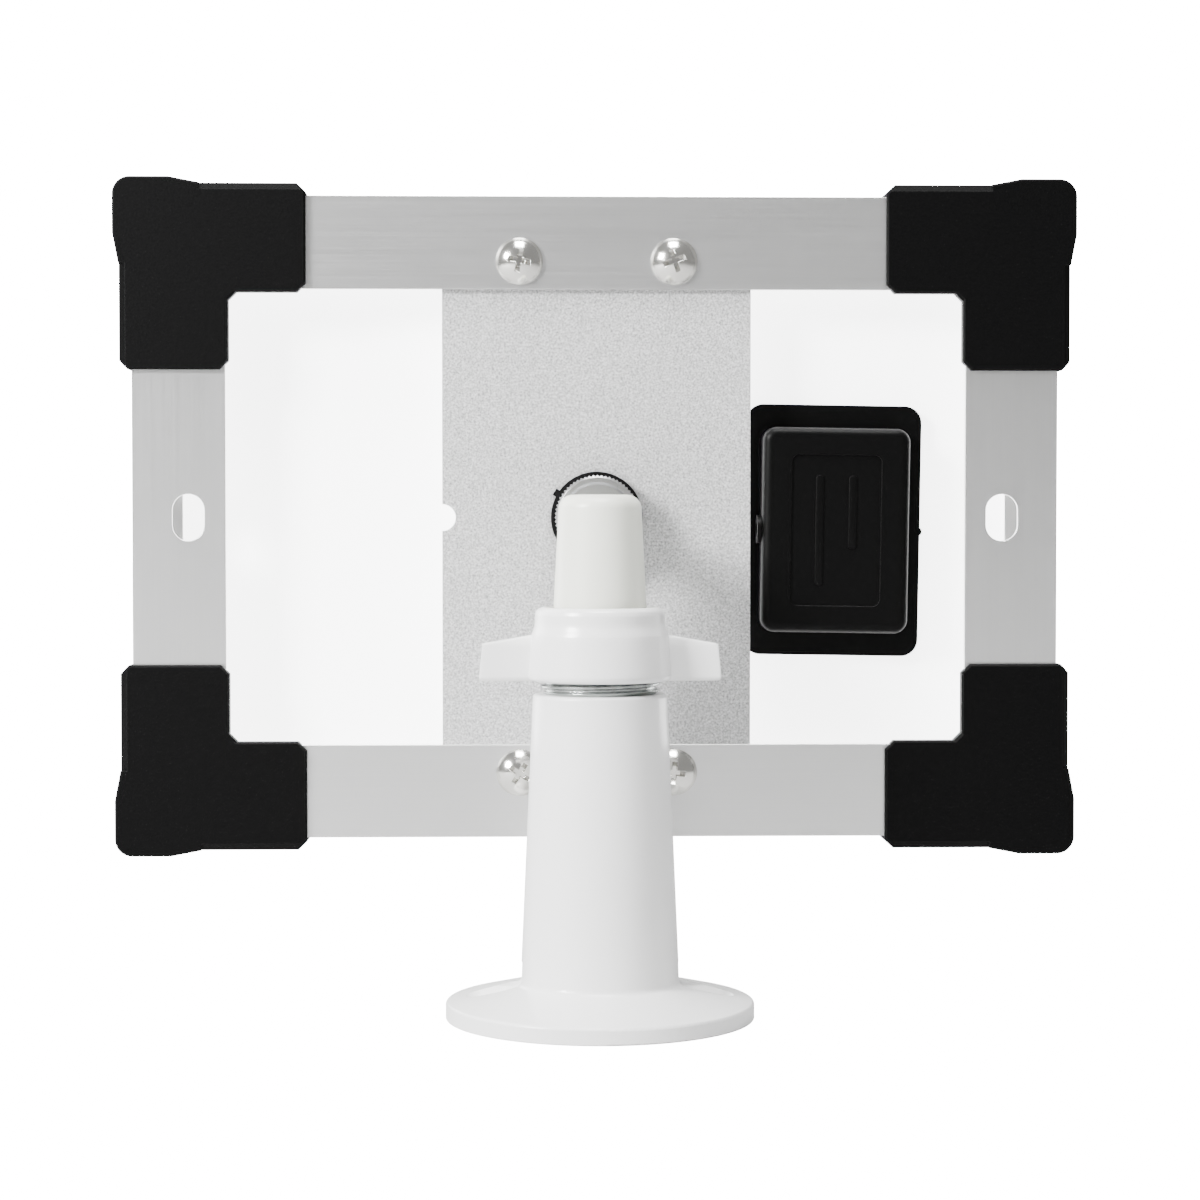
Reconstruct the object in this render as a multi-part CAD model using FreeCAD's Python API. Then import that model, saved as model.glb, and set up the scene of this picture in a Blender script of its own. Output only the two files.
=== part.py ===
import FreeCAD
import Part
import math
import os

# Framed solar charging panel on a ball-jointed wall bracket.
# Millimetres. Origin at the centre of the base's underside, +Z up the post.
# The panel stands on the +Y side of the post with its glass facing +Y.

Vector = FreeCAD.Vector

# How far a cutting tool runs beyond the face that it opens.
past = 1.0
# Trimmed off the end radius of a slot, so that its two end arcs do not meet.
end_trim = 0.001
# How close a place must be to a face to count as on it.
on_face = 1e-4

# ---- driving dimensions: bracket ----
base_diameter = 64.0
base_rim_height = 3.5
base_cone_top = 7.2
base_edge_round = 0.7
post_foot_radius = 16.1
post_top_radius = 13.9
post_foot_flare = 0.4
post_foot_round = 1.4
post_top_round = 0.8
post_top_z = 67.3
post_bore_radius = 11.5
slot_radius_out = 22.1
slot_width = 4.6
slot_length = 9.6
slot_sink_width = 8.4
slot_sink_depth = 2.6
slot_head_room = 6.0

neck_plug_depth = 17.3
neck_plug_floor = 13.9
neck_bore_radius = 10.1
neck_rise = 9.2
neck_plug_round = 0.5
thread_crest_radius = 12.5
thread_depth = 0.9
thread_pitch = 1.5

ball_radius = 9.8
ball_rise = 9.7
ball_gap = 0.15
pad_thickness = 0.8
pad_top_drop = 5.5
seat_fit = 0.05
seat_floor = 2.1
seat_top_drop = 6.0
seat_floor_gap = 0.1

collar_gap = 2.6
collar_height = 15.3
collar_skirt_radius = 14.95
collar_crown_radius = 13.45
collar_skirt_height = 9.4
collar_step_height = 1.1
collar_mouth_radius = 11.4
collar_bottom_round = 1.2
collar_top_round = 1.6
collar_bore_round = 0.3
collar_skirt_round = 0.7
collar_step_round = 1.2
collar_mouth_round = 0.4
collar_thread_fit = 0.05
collar_thread_length = 7.4
wing_tip_radius = 25.1
wing_thickness = 5.0
wing_tip_height = 7.7
wing_root_height = 9.3
wing_tip_slant = 0.8
wing_round = 1.1
wing_rim_round = 0.88
wing_foot_rise = 0.1
wing_root_reach = 2.0
ring_outer_radius = 12.0
ring_height = 4.0
ring_seat_clearance = 0.1
ring_rest_rise = 0.8
ring_bore_fit = 0.05

stem_shoulder_drop = 0.3
stem_shoulder_radius = 9.65
stem_top_radius = 8.45
stem_rise = 31.4
stem_top_round = 3.0
stem_neck_radius = 6.3
stem_shoulder_round = 0.3

# ---- driving dimensions: stud, lock nut and washer ----
stud_drop = 4.7
stud_radius = 3.175
stud_thread_pitch = 1.27
stud_thread_depth = 0.5
stud_buried = 5.5
stud_tip_beyond_nut = 0.4
stud_running_fit = 0.05
stud_bore_fit = 0.05
lock_nut_radius = 9.13
lock_nut_thickness = 6.0
lock_nut_teeth = 64
lock_nut_tooth_depth = 0.42
lock_nut_chamfer = 0.6
lock_nut_dish_radius = 7.6
lock_nut_dish_depth = 0.5
washer_radius = 9.9
washer_thickness = 2.0
washer_tab_angle = 148.5
washer_tab_reach = 0.8
washer_tab_width = 1.6
clamp_face_gap = 0.05

# ---- driving dimensions: panel ----
frame_width = 200.0
frame_height = 138.4
frame_depth = 17.0
panel_stand_off = 26.0
rail_wall = 1.3
flange_width = 20.0
flange_thickness = 1.3
ledge_width = 9.5
ledge_thickness = 1.2
lip_width = 5.0
lip_thickness = 1.2
rail_slot_width = 7.0
rail_slot_length = 10.2
rail_slot_inset = 12.0

glass_thickness = 3.2
glass_edge_gap = 0.7
encapsulant_thickness = 0.6
backsheet_thickness = 0.3
cell_columns = 6
cell_rows = 2
cell_width = 29.5
cell_height = 58.0
cell_gap_x = 1.5
cell_gap_z = 2.0
cell_thickness = 0.2
cell_front_cover = 0.25
cell_corner_cut = 1.6
ribbon_width = 1.2
ribbon_thickness = 0.15
ribbons_per_column = 2
bus_width = 2.4
bus_gap = 0.8
bus_tier_gap = 0.3
bus_end_inset = 2.0

plate_width = 66.8
plate_height = 132.0
plate_thickness = 1.5
plate_corner_round = 1.0
plate_notch_radius = 2.9
plate_hole_clearance = 0.35
insert_nut_across_flats = 11.1
insert_nut_thickness = 5.6
insert_nut_flange_radius = 8.0
insert_nut_flange_thickness = 1.2

screw_radius = 2.5
screw_head_radius = 5.05
screw_head_height = 3.0
screw_head_edge = 0.5
screw_half_spacing = 16.7
screw_flange_inset = 6.0
screw_hole_clearance = 0.25
screw_tip_beyond_nut = 1.0
screw_turn_angles = (12.0, -20.0, 33.0, 5.0)
cross_length = 5.2
cross_width = 1.05
cross_depth = 1.7
cross_wall = 0.4
nut_across_flats = 8.0
nut_thickness = 4.0

key_leg = 24.0
key_fit = 0.1
key_groove = 0.5
key_groove_width = 1.2
key_groove_pitch = 4.5
key_groove_count = 3
key_round = 1.0

guard_proud = 2.65
guard_bulge = 3.9
guard_leg = 37.4
guard_back_wall = 1.5
guard_front_wall = 1.5
guard_inner_overlap = 0.8
guard_bulge_length = 12.0
guard_taper_length = 6.5
guard_corner_radius = 3.8
guard_end_cut = 1.9
guard_inner_cut = 1.7
guard_leg_bevel = 1.5
guard_edge_break = 0.35

# ---- driving dimensions: junction box ----
box_centre_x = 52.1
box_drop = 2.8
box_skew_deg = 0.9
box_flange_width = 38.5
box_flange_height = 55.0
box_flange_thickness = 2.0
box_flange_round = 3.7
box_nub_radius = 1.0
box_nub_reach = 0.5
box_glue_thickness = 0.8
box_glue_inset = 2.0
lid_width = 32.2
lid_height = 44.7
lid_rise = 7.4
lid_wall = 1.5
lid_corner_round = 3.0
lid_edge_round = 1.9
lid_panel_width = 19.6
lid_panel_height = 32.9
lid_panel_depth = 0.4
lid_panel_round = 1.6
rim_height = 3.0
rim_wall = 1.2
rim_fit = 0.1
rim_inner_round = 0.3
board_side_room = 5.1
board_end_room = 6.35
board_thickness = 1.0
board_lift = 1.2
board_round = 1.0
board_post_radius = 1.6
board_post_inset = 3.5
diode_radius = 1.35
diode_length = 5.2
diode_lead_radius = 0.4
diode_lead_length = 3.6
clip_width = 5.0
clip_length = 8.0
clip_thickness = 0.6
clip_spacing = 12.0
clip_drop = 2.0
clip_tab_height = 2.2
lead_width = 2.0
lead_thickness = 0.1
lead_slit_clearance = 0.3
gland_outer_radius = 2.6
gland_hole_radius = 1.7
gland_flange_radius = 3.1
gland_flange_thickness = 0.9
gland_fit = 0.03
gland_lift = 2.0

# ---- places worked out from them ----
neck_top_z = post_top_z + neck_rise
ball_centre_z = post_top_z + ball_rise
stem_top_z = ball_centre_z + stem_rise
stud_z = stem_top_z - stud_drop
panel_z = stud_z
half_width = frame_width / 2
half_height = frame_height / 2
frame_back_y = panel_stand_off
frame_front_y = frame_back_y + frame_depth
glass_front_y = frame_front_y - lip_thickness
glass_back_y = glass_front_y - glass_thickness
backsheet_front_y = glass_back_y - encapsulant_thickness
backsheet_back_y = backsheet_front_y - backsheet_thickness
plate_back_y = frame_back_y + flange_thickness
plate_front_y = plate_back_y + plate_thickness
insert_nut_front_y = plate_front_y + insert_nut_thickness
washer_front_y = plate_back_y - clamp_face_gap
washer_back_y = washer_front_y - washer_thickness
lock_nut_front_y = washer_back_y - clamp_face_gap
lock_nut_back_y = lock_nut_front_y - lock_nut_thickness
glass_half_width = half_width - rail_wall - glass_edge_gap
glass_half_height = half_height - rail_wall - glass_edge_gap
screw_half_rise = half_height - flange_width + screw_flange_inset
cell_front_y = glass_back_y - cell_front_cover
cell_back_y = cell_front_y - cell_thickness
cell_field_height = cell_rows * cell_height + (cell_rows - 1) * cell_gap_z
cell_field_width = cell_columns * cell_width + (cell_columns - 1) * cell_gap_x
collar_bottom_z = post_top_z + collar_gap
collar_top_z = collar_bottom_z + collar_height
ring_bottom_z = collar_bottom_z + collar_thread_length + ring_rest_rise
ring_top_z = ring_bottom_z + ring_height
stem_shoulder_z = collar_top_z - stem_shoulder_drop
box_centre_z = panel_z - box_drop
box_flange_front_y = backsheet_back_y - box_glue_thickness
box_flange_back_y = box_flange_front_y - box_flange_thickness
lid_back_y = box_flange_back_y - lid_rise
board_width = lid_width - 2 * board_side_room
board_height = lid_height - 2 * board_end_room
board_front_y = box_flange_back_y - board_lift
board_back_y = board_front_y - board_thickness


# ---- shared shapes ----
def block(x0, x1, y0, y1, z0, z1):
    """Box between two corners."""
    return Part.makeBox(x1 - x0, y1 - y0, z1 - z0, Vector(x0, y0, z0))


def rod_z(radius, z0, z1, x=0.0, y=0.0):
    """Cylinder along Z."""
    return Part.makeCylinder(radius, z1 - z0, Vector(x, y, z0), Vector(0, 0, 1))


def rod_y(radius, y0, y1, x=0.0, z=0.0):
    """Cylinder along Y."""
    return Part.makeCylinder(radius, y1 - y0, Vector(x, y0, z), Vector(0, 1, 0))


def rounded_wire(corners, place):
    """Closed wire through corners (u, v, radius), each turned by an arc of its own radius or left sharp."""
    spans = []
    for index, (u, v, radius) in enumerate(corners):
        here = Vector(u, v, 0)
        before = Vector(corners[index - 1][0], corners[index - 1][1], 0) - here
        after_corner = corners[(index + 1) % len(corners)]
        after = Vector(after_corner[0], after_corner[1], 0) - here
        before.normalize()
        after.normalize()
        if radius == 0:
            spans.append((here, None, here))
            continue
        half_angle = before.getAngle(after) / 2
        reach = radius / math.tan(half_angle)
        toward = before + after
        toward.normalize()
        middle = here + toward * (radius / math.sin(half_angle) - radius)
        spans.append((here + before * reach, middle, here + after * reach))
    edges = []
    for index, (entry, middle, leave) in enumerate(spans):
        previous_leave = spans[index - 1][2]
        if previous_leave.distanceToPoint(entry) > 1e-6:
            edges.append(Part.LineSegment(place(previous_leave), place(entry)).toShape())
        if middle is not None:
            edges.append(Part.Arc(place(entry), place(middle), place(leave)).toShape())
    return Part.Wire(Part.__sortEdges__(edges))


def turned(corners):
    """Solid of revolution about Z of a closed outline of (radius, z, corner radius)."""
    wire = rounded_wire(corners, lambda point: Vector(point.x, 0, point.y))
    return Part.Face(wire).revolve(Vector(0, 0, 0), Vector(0, 0, 1), 360)


def prism_y(corners, y0, y1):
    """Outline of (x, z, corner radius) carried along Y."""
    wire = rounded_wire(corners, lambda point: Vector(point.x, y0, point.y))
    return Part.Face(wire).extrude(Vector(0, y1 - y0, 0))


def rectangle(width, height, radius, x=0.0, z=0.0):
    """Corners of a rectangle centred at x, z."""
    return [
        (x - width / 2, z - height / 2, radius),
        (x + width / 2, z - height / 2, radius),
        (x + width / 2, z + height / 2, radius),
        (x - width / 2, z + height / 2, radius),
    ]


def obround(length, width, x=0.0, z=0.0):
    """Corners of a slot with full round ends, centred at x, z."""
    return rectangle(length, width, min(length, width) / 2 - end_trim, x=x, z=z)


def hexagon(across_flats, x=0.0, z=0.0):
    """Corners of a hexagon centred at x, z."""
    reach = across_flats / math.sqrt(3)
    turns = [math.radians(60 * step) for step in range(6)]
    return [(x + reach * math.cos(turn), z + reach * math.sin(turn), 0) for turn in turns]


def ridge_points(crest, root, start, end, pitch):
    """Thread drawn as closed ridges: (radius, place) points from start to end, a quarter pitch each."""
    points = []
    turns = int((end - start) / pitch)
    for turn in range(turns):
        foot = start + turn * pitch
        points.append((root, foot + 0.15 * pitch))
        points.append((crest, foot + 0.4 * pitch))
        points.append((crest, foot + 0.6 * pitch))
        points.append((root, foot + 0.85 * pitch))
    return points


def save(shape, name):
    """Write one node."""
    shape.exportStep("parts/" + name + ".step")


# ---- bracket ----
def base_slot(side):
    """What one countersunk radial slot takes out of the base."""
    x = side * slot_radius_out
    narrow = obround(slot_length, slot_width, x=x)
    wide = obround(slot_length + slot_sink_width - slot_width, slot_sink_width, x=x)
    cone_fall = (base_cone_top - base_rim_height) / (base_diameter / 2 - post_foot_radius)
    surface_z = base_rim_height + (base_diameter / 2 - slot_radius_out) * cone_fall
    sink_z = surface_z - slot_sink_depth
    foot = rounded_wire(narrow, lambda point: Vector(point.x, point.y, -past))
    throat = rounded_wire(narrow, lambda point: Vector(point.x, point.y, sink_z))
    mouth = rounded_wire(wide, lambda point: Vector(point.x, point.y, surface_z))
    through = Part.Face(foot).extrude(Vector(0, 0, surface_z + past))
    flare = Part.makeLoft([throat, mouth], True, True)
    room = Part.Face(mouth).extrude(Vector(0, 0, slot_head_room))
    return through.fuse([flare, room])


def mounting_base_post():
    """Cast base disc with a coned top, two countersunk radial slots and the hollow tapered post."""
    rim = base_diameter / 2
    body = turned([
        (post_bore_radius, 0, 0),
        (rim, 0, base_edge_round / 2),
        (rim, base_rim_height, base_edge_round),
        (post_foot_radius + post_foot_flare, base_cone_top, post_foot_round),
        (post_top_radius, post_top_z, post_top_round),
        (post_bore_radius, post_top_z, 0),
    ])
    for side in (-1, 1):
        body = body.cut(base_slot(side))
    return body


def threaded_neck():
    """Turned insert: a plug in the post's bore, and a threaded cup above it for the ball."""
    root = thread_crest_radius - thread_depth
    plug_z = post_top_z - neck_plug_depth
    floor_z = plug_z + neck_plug_floor
    outline = [
        (0, plug_z, 0),
        (post_bore_radius, plug_z, neck_plug_round),
        (post_bore_radius, post_top_z, 0),
        (root, post_top_z, 0),
    ]
    for radius, height in ridge_points(thread_crest_radius, root, post_top_z, neck_top_z, thread_pitch):
        outline.append((radius, height, 0))
    outline += [
        (root, neck_top_z, 0),
        (neck_bore_radius, neck_top_z, 0),
        (neck_bore_radius, floor_z, 0),
        (0, floor_z, 0),
    ]
    return turned(outline)


def ball_sphere(radius):
    """Sphere about the ball's centre."""
    return Part.makeSphere(radius, Vector(0, 0, ball_centre_z))


def ball_seat():
    """Nylon cup at the bottom of the neck, turning on the post's axis."""
    outer = neck_bore_radius - seat_fit
    bottom = post_top_z - neck_plug_depth + neck_plug_floor + seat_floor_gap
    cup = rod_z(outer, bottom, ball_centre_z - seat_top_drop)
    return cup.cut(ball_sphere(ball_radius + pad_thickness + 2 * ball_gap))


def friction_pad():
    """Spherical friction cap between the cup and the ball."""
    outer = ball_radius + ball_gap + pad_thickness
    cap = ball_sphere(outer).cut(ball_sphere(ball_radius + ball_gap))
    keep_top = ball_centre_z - pad_top_drop
    return cap.common(rod_z(outer + past, ball_centre_z - outer - past, keep_top))


def ball_stem():
    """Ball with a shouldered tapered stem, cross-bored at its top for the stud."""
    stem = turned([
        (0, stem_shoulder_z, 0),
        (stem_shoulder_radius, stem_shoulder_z, stem_shoulder_round),
        (stem_top_radius, stem_top_z, stem_top_round),
        (0, stem_top_z, 0),
    ])
    neck = rod_z(stem_neck_radius, ball_centre_z, stem_shoulder_z + past)
    body = ball_sphere(ball_radius).fuse(neck).fuse(stem).removeSplitter()
    return body.cut(rod_y(stud_radius + stud_bore_fit, -stud_buried, stem_shoulder_radius + past, z=stud_z))


def mounting_stud():
    """Steel stud set across the stem's top, threaded where it stands out of the stem."""
    root = stud_radius - stud_thread_depth
    tip_y = insert_nut_front_y + stud_tip_beyond_nut
    outline = [(0, -stud_buried, 0), (stud_radius, -stud_buried, 0), (stud_radius, stem_shoulder_radius, 0)]
    for radius, place in ridge_points(stud_radius, root, stem_shoulder_radius, tip_y, stud_thread_pitch):
        outline.append((radius, place, 0))
    outline += [(root, tip_y, 0), (0, tip_y, 0)]
    upright = turned(outline)
    upright.rotate(Vector(0, 0, 0), Vector(1, 0, 0), -90)
    upright.translate(Vector(0, 0, stud_z))
    return upright


def clamp_ring():
    """Nylon ring with a spherical seat that the collar presses on the ball."""
    ring = rod_z(ring_outer_radius, ring_bottom_z, ring_top_z)
    return ring.cut(ball_sphere(ball_radius + ball_gap))


def collar_wing(side):
    """Flat thumb wing of the collar, from inside its wall to the tip."""
    root_x = collar_crown_radius
    top_root = collar_bottom_z + wing_root_height
    top_tip = collar_bottom_z + wing_tip_height
    wing = prism_y([
        (side * root_x, collar_bottom_z + wing_foot_rise, 0),
        (side * (wing_tip_radius - wing_tip_slant), collar_bottom_z + wing_foot_rise, wing_round),
        (side * wing_tip_radius, top_tip, wing_round),
        (side * (collar_skirt_radius + wing_root_reach), top_root, 0),
        (side * root_x, top_root, 0),
    ], -wing_thickness / 2, wing_thickness / 2)
    flat_y = wing_thickness / 2 - on_face
    rims = []
    for edge in wing.Edges:
        middle = edge.valueAt((edge.FirstParameter + edge.LastParameter) / 2)
        ends_out = all(abs(vertex.Point.x) > root_x + on_face for vertex in edge.Vertexes)
        if abs(middle.y) > flat_y and ends_out:
            rims.append(edge)
    return wing.makeFillet(wing_rim_round, rims)


def wing_collar():
    """White clamping collar with two thumb wings, bored to run on the neck's thread."""
    bore = thread_crest_radius + collar_thread_fit
    ring_bore = ring_outer_radius + ring_bore_fit
    thread_top = collar_bottom_z + collar_thread_length
    shelf_z = ring_top_z + ring_seat_clearance
    skirt_top = collar_bottom_z + collar_skirt_height
    body = turned([
        (bore, collar_bottom_z, collar_bore_round),
        (collar_skirt_radius, collar_bottom_z, collar_bottom_round),
        (collar_skirt_radius, skirt_top, collar_skirt_round),
        (collar_crown_radius, skirt_top + collar_step_height, collar_step_round),
        (collar_crown_radius, collar_top_z, collar_top_round),
        (collar_mouth_radius, collar_top_z, collar_mouth_round),
        (collar_mouth_radius, shelf_z, 0),
        (ring_bore, shelf_z, 0),
        (ring_bore, thread_top, 0),
        (bore, thread_top, 0),
    ])
    for side in (-1, 1):
        body = body.fuse(collar_wing(side))
    hollow = rod_z(bore, collar_bottom_z - past, thread_top)
    return body.cut(hollow).removeSplitter()


def knurled_lock_nut():
    """Round lock nut on the stud with a serrated rim and a dished back face."""
    corners = []
    for step in range(2 * lock_nut_teeth):
        turn = math.pi * step / lock_nut_teeth
        radius = lock_nut_radius - (step % 2) * lock_nut_tooth_depth
        corners.append((radius * math.cos(turn), stud_z + radius * math.sin(turn), 0))
    teeth = prism_y(corners, lock_nut_back_y, lock_nut_front_y)
    blank = turned([
        (stud_radius + stud_running_fit, lock_nut_back_y + lock_nut_dish_depth, 0),
        (lock_nut_dish_radius - lock_nut_dish_depth, lock_nut_back_y + lock_nut_dish_depth, 0),
        (lock_nut_dish_radius, lock_nut_back_y, 0),
        (lock_nut_radius - lock_nut_chamfer, lock_nut_back_y, 0),
        (lock_nut_radius, lock_nut_back_y + lock_nut_chamfer, 0),
        (lock_nut_radius, lock_nut_front_y - lock_nut_chamfer, 0),
        (lock_nut_radius - lock_nut_chamfer, lock_nut_front_y, 0),
        (stud_radius + stud_running_fit, lock_nut_front_y, 0),
    ])
    blank.rotate(Vector(0, 0, 0), Vector(1, 0, 0), -90)
    blank.translate(Vector(0, 0, stud_z))
    return teeth.common(blank)


def rubber_washer():
    """Black rubber washer against the plate, with its moulding tab."""
    disc = rod_y(washer_radius, washer_back_y, washer_front_y, z=stud_z)
    tab = block(
        washer_radius - past, washer_radius + washer_tab_reach, washer_back_y, washer_front_y,
        stud_z - washer_tab_width / 2, stud_z + washer_tab_width / 2,
    )
    tab.rotate(Vector(0, 0, stud_z), Vector(0, 1, 0), -washer_tab_angle)
    hole = rod_y(
        stud_radius + stud_running_fit, washer_back_y - past, washer_front_y + past, z=stud_z)
    return disc.fuse(tab).removeSplitter().cut(hole)


# ---- panel frame ----
def screw_places():
    """Plate screw axes as (x, z), upper pair first."""
    places = []
    for rise in (screw_half_rise, -screw_half_rise):
        for side in (-screw_half_spacing, screw_half_spacing):
            places.append((side, panel_z + rise))
    return places


def rail_profile_blocks(reach):
    """Rail of an along-X run at the frame's top: wall, flange, ledge and lip, reaching both ways."""
    top = panel_z + half_height
    ledge_front = backsheet_back_y
    wall = block(-reach, reach, frame_back_y, frame_front_y, top - rail_wall, top)
    flange = block(-reach, reach, frame_back_y, plate_back_y, top - flange_width, top)
    ledge = block(-reach, reach, ledge_front - ledge_thickness, ledge_front, top - ledge_width, top)
    lip = block(-reach, reach, glass_front_y, frame_front_y, top - lip_width, top)
    return wall.fuse([flange, ledge, lip]).removeSplitter()


def mitred(rail, reach):
    """Cut an along-X rail of half length reach to 45 degrees at both ends."""
    top = panel_z + half_height
    inner = flange_width
    keep = prism_y([
        (-reach, top, 0),
        (reach, top, 0),
        (reach - inner, top - inner, 0),
        (inner - reach, top - inner, 0),
    ], frame_back_y, frame_front_y)
    return rail.common(keep)


def top_rail():
    """Top rail with the two upper screw holes in its flange."""
    rail = mitred(rail_profile_blocks(half_width), half_width)
    for x, z in screw_places()[:2]:
        radius = screw_radius + screw_hole_clearance
        rail = rail.cut(rod_y(radius, frame_back_y - past, plate_back_y + past, x=x, z=z))
    return rail


def bottom_rail():
    """Bottom rail: the top rail turned end for end about the panel's axis."""
    rail = top_rail()
    rail.rotate(Vector(0, 0, panel_z), Vector(0, 1, 0), 180)
    return rail


def side_rail(side):
    """Side rail with its obround fixing slot, long way upright."""
    rail = mitred(rail_profile_blocks(half_height), half_height)
    rail.translate(Vector(0, 0, half_width - half_height))
    rail.rotate(Vector(0, 0, panel_z), Vector(0, 1, 0), side * 90)
    slot = obround(rail_slot_width, rail_slot_length, x=side * (half_width - rail_slot_inset), z=panel_z)
    return rail.cut(prism_y(slot, frame_back_y - past, plate_back_y + past))


def corner_key(side, rise):
    """Cast L key that fills the rails' channel round one corner, grooved across both legs."""
    outer = rail_wall
    inner = ledge_width - rail_wall
    corners = [
        (outer, outer, 0),
        (key_leg, outer, key_round),
        (key_leg, inner, key_round),
        (inner, inner, 0),
        (inner, key_leg, key_round),
        (outer, key_leg, key_round),
    ]
    right = half_width
    top = panel_z + half_height
    low_y = plate_back_y + key_fit
    high_y = backsheet_back_y - ledge_thickness - key_fit
    key = prism_y([(right - u, top - v, radius) for u, v, radius in corners], low_y, high_y)
    groove_y = low_y + key_groove
    for step in range(1, key_groove_count + 1):
        far = inner + step * key_groove_pitch
        near = far + key_groove_width
        key = key.cut(block(
            right - near, right - far, low_y - past, groove_y, top - inner - past, top - outer + past))
        key = key.cut(block(
            right - inner - past, right - outer + past, low_y - past, groove_y, top - near, top - far))
    return in_corner(key, side, rise)


def in_corner(shape, side, rise):
    """Mirror a top right corner piece to the corner asked for."""
    if side < 0:
        shape = shape.mirror(Vector(0, 0, 0), Vector(1, 0, 0))
    if rise < 0:
        shape = shape.mirror(Vector(0, 0, panel_z), Vector(0, 0, 1))
    return shape


def guard_corners(inset):
    """Outline of the top right corner guard, drawn in by inset for its broken edges."""
    proud = guard_proud - inset
    bulge = guard_bulge - inset
    inner = -(flange_width + guard_inner_overlap) + inset
    leg = -guard_leg + inset
    cut = guard_end_cut - inset * (2 - math.sqrt(2))
    inner_cut = guard_inner_cut - inset * (2 - math.sqrt(2))
    straight = guard_bulge - guard_bulge_length
    taper = straight - guard_taper_length
    outline = [
        (leg, inner + cut, 0),
        (leg, proud - cut, 0),
        (leg + cut, proud, 0),
        (taper, proud, 0),
        (straight, bulge, 0),
        (bulge, bulge, guard_corner_radius - inset),
        (bulge, straight, 0),
        (proud, taper, 0),
        (proud, leg + cut, 0),
        (proud - cut, leg, 0),
        (inner + cut, leg, 0),
        (inner, leg + cut, 0),
        (inner, inner - inner_cut, 0),
        (inner - inner_cut, inner, 0),
        (leg + cut, inner, 0),
    ]
    return [(half_width + u, panel_z + half_height + v, radius) for u, v, radius in outline]


def guard_layer(inset_a, y_a, inset_b, y_b):
    """Layer of the guard between two outlines."""
    wires = []
    for inset, y in ((inset_a, y_a), (inset_b, y_b)):
        wires.append(rounded_wire(guard_corners(inset), lambda point, y=y: Vector(point.x, y, point.y)))
    return Part.makeLoft(wires, True, True)


def corner_guard(side, rise):
    """Moulded L cap over one frame corner, with a bulged outer corner and bevelled legs."""
    back = frame_back_y - guard_back_wall
    front = frame_front_y + guard_front_wall
    right = half_width
    top = panel_z + half_height
    far = guard_leg + past
    cap = guard_layer(guard_edge_break, back, 0, back + guard_edge_break)
    cap = cap.fuse(guard_layer(0, back + guard_edge_break, 0, front - guard_edge_break))
    cap = cap.fuse(guard_layer(0, front - guard_edge_break, guard_edge_break, front))
    flange_run = block(right - far, right, frame_back_y, plate_back_y, top - flange_width, top)
    flange_rise = block(right - flange_width, right, frame_back_y, plate_back_y, top - far, top)
    inside = block(right - far, right, plate_back_y, frame_front_y, top - far, top)
    window = block(
        right - far, right - lip_width, plate_back_y, front + past, top - far, top - lip_width)
    cap = cap.cut(flange_run.fuse([flange_rise, inside, window]))
    bevel = [
        (0, back - past, 0),
        (0, back + guard_leg_bevel, 0),
        (-guard_leg_bevel - past, back - past, 0),
    ]
    bevel_end = guard_bulge - guard_bulge_length - guard_taper_length
    edge_z = top + guard_proud
    wire = rounded_wire(bevel, lambda point: Vector(right - far, point.y, edge_z + point.x))
    cap = cap.cut(Part.Face(wire).extrude(Vector(far + bevel_end, 0, 0)))
    edge_x = right + guard_proud
    wire = rounded_wire(bevel, lambda point: Vector(edge_x + point.x, point.y, top - far))
    cap = cap.cut(Part.Face(wire).extrude(Vector(0, 0, far + bevel_end)))
    return in_corner(cap.removeSplitter(), side, rise)


def back_plate():
    """Galvanised plate behind the top and bottom flanges, notched for the lead at mid height."""
    plate = prism_y(
        rectangle(plate_width, plate_height, plate_corner_round, z=panel_z), plate_back_y, plate_front_y)
    notch = rod_y(
        plate_notch_radius, plate_back_y - past, plate_front_y + past, x=-plate_width / 2, z=panel_z)
    centre = rod_y(
        stud_radius + plate_hole_clearance, plate_back_y - past, plate_front_y + past, z=stud_z)
    plate = plate.cut(notch).cut(centre)
    for x, z in screw_places():
        radius = screw_radius + screw_hole_clearance
        plate = plate.cut(rod_y(radius, plate_back_y - past, plate_front_y + past, x=x, z=z))
    return plate


def plate_insert_nut():
    """Flanged nut fixed to the plate's inner face, on the stud."""
    nut = prism_y(hexagon(insert_nut_across_flats, z=stud_z), plate_front_y, insert_nut_front_y)
    flange = rod_y(
        insert_nut_flange_radius, plate_front_y, plate_front_y + insert_nut_flange_thickness, z=stud_z)
    hole = rod_y(
        stud_radius + stud_running_fit, plate_front_y - past, insert_nut_front_y + past, z=stud_z)
    return nut.fuse(flange).removeSplitter().cut(hole)


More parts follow.
